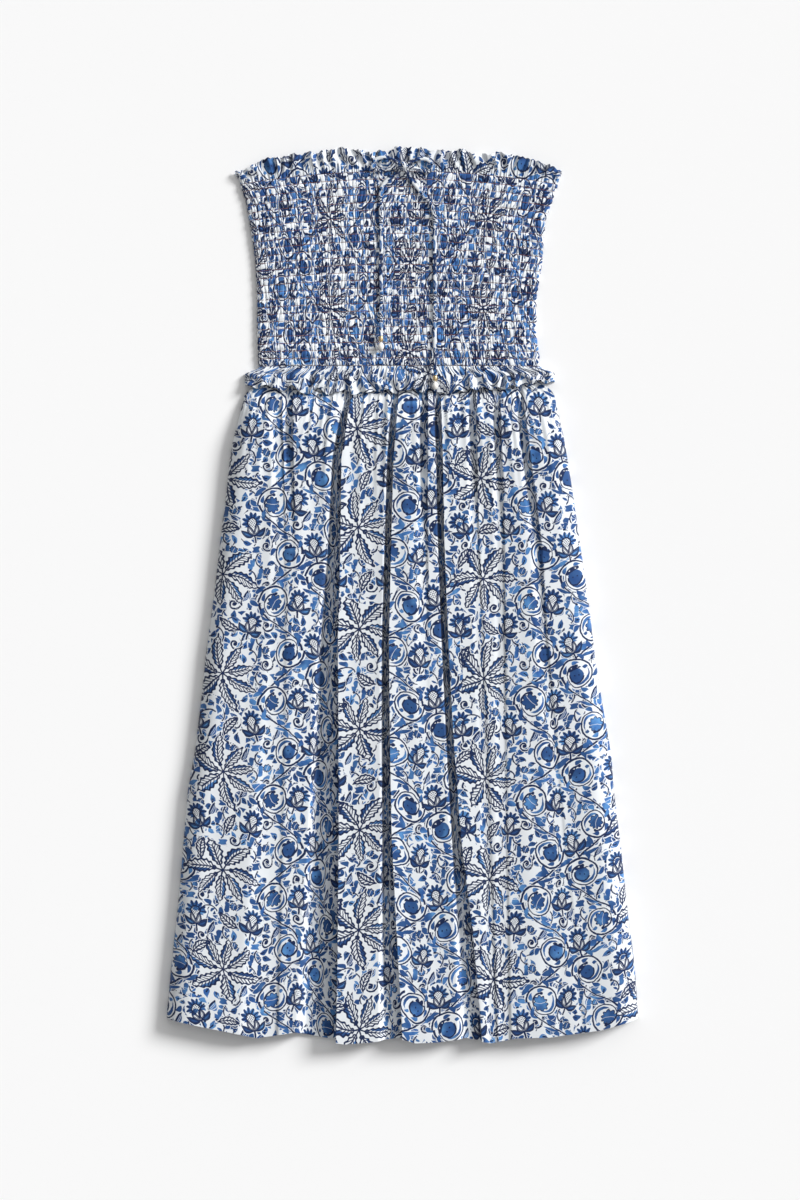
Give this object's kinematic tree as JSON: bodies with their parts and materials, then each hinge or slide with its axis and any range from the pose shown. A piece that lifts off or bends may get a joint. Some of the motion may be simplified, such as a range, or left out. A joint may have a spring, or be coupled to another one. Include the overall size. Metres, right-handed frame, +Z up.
{
  "type": "smocked dress",
  "caption": "Strapless midi dress laid flat: shirred bodice with a frilled neckline, thin tie bow with charms, waist frill and gathered flared skirt.",
  "frame": {"origin": "centre of the laid-out dress, on the surface it rests on", "axes": "+Z up off the surface, out of the front of the dress; +Y along the dress towards the neckline; +X towards the right of the dress as seen from the front"},
  "size_m": [0.5652, 1.0713, 0.0206],
  "materials": {
    "printed_cotton": "matt plain-weave cotton, printed",
    "gold_metal": "polished",
    "pearly_shell": "pearly gloss"
  },
  "bodies": {
    "root": {"bodice_front": "printed_cotton", "bodice_back": "printed_cotton", "neck_frill_front": "printed_cotton", "neck_frill_back": "printed_cotton", "waist_frill_front": "printed_cotton", "waist_frill_back": "printed_cotton", "skirt_front": "printed_cotton", "skirt_back": "printed_cotton", "tie_knot": "printed_cotton", "tie_loop_left": "printed_cotton", "tie_loop_right": "printed_cotton", "tie_tail_left": "printed_cotton", "tie_tail_right": "printed_cotton", "bead_left": "gold_metal", "bead_right": "gold_metal", "drop_left": "pearly_shell", "drop_right": "pearly_shell"}
  },
  "joints": []
}
